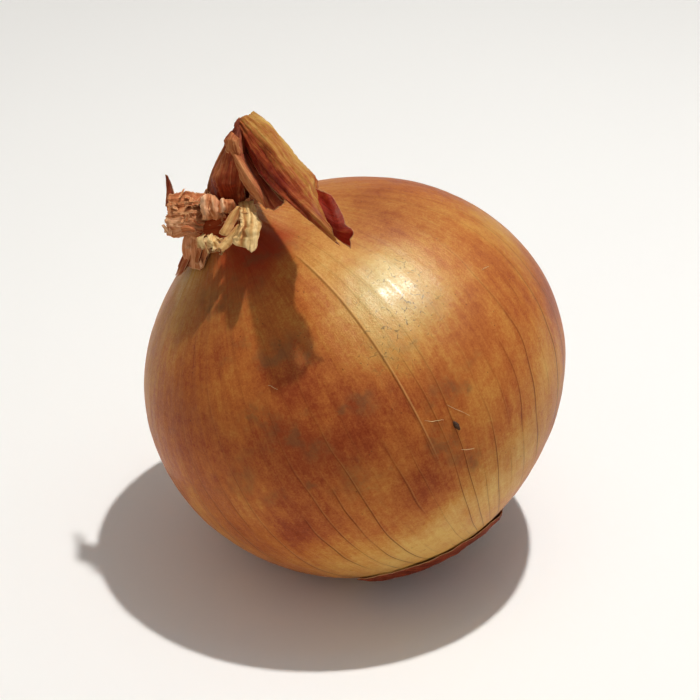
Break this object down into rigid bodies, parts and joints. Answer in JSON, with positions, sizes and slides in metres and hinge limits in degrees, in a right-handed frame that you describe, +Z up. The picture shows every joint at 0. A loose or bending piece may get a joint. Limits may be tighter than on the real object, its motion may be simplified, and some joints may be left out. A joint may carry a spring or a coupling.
{
  "type": "onion",
  "caption": "Globe onion in dry golden-brown skin, leaning on a small flat, with a torn neck and one long dry leaf folded over its shoulder.",
  "frame": {"origin": "centre of the small flat that the bulb rests on, on the surface", "axes": "+Z up from the surface; the neck leans towards -X and the root end faces +X and down; the long leaf folds over towards -Y"},
  "size_m": [0.0767, 0.0775, 0.0853],
  "materials": {
    "golden_skin": "satin",
    "dry_leaf": "satin",
    "inner_leaf": "matte",
    "torn_skin": "matte",
    "pale_skin": "matte",
    "roots": "matte"
  },
  "bodies": {
    "root": {"bulb": "golden_skin", "neck_core": "inner_leaf", "folded_leaf": "dry_leaf", "inner_leaf": "inner_leaf", "torn_neck_skin": "torn_skin", "pale_flap": "pale_skin", "pale_tuft": "pale_skin", "root_skirt": "torn_skin", "root_crown": "roots"}
  },
  "joints": []
}
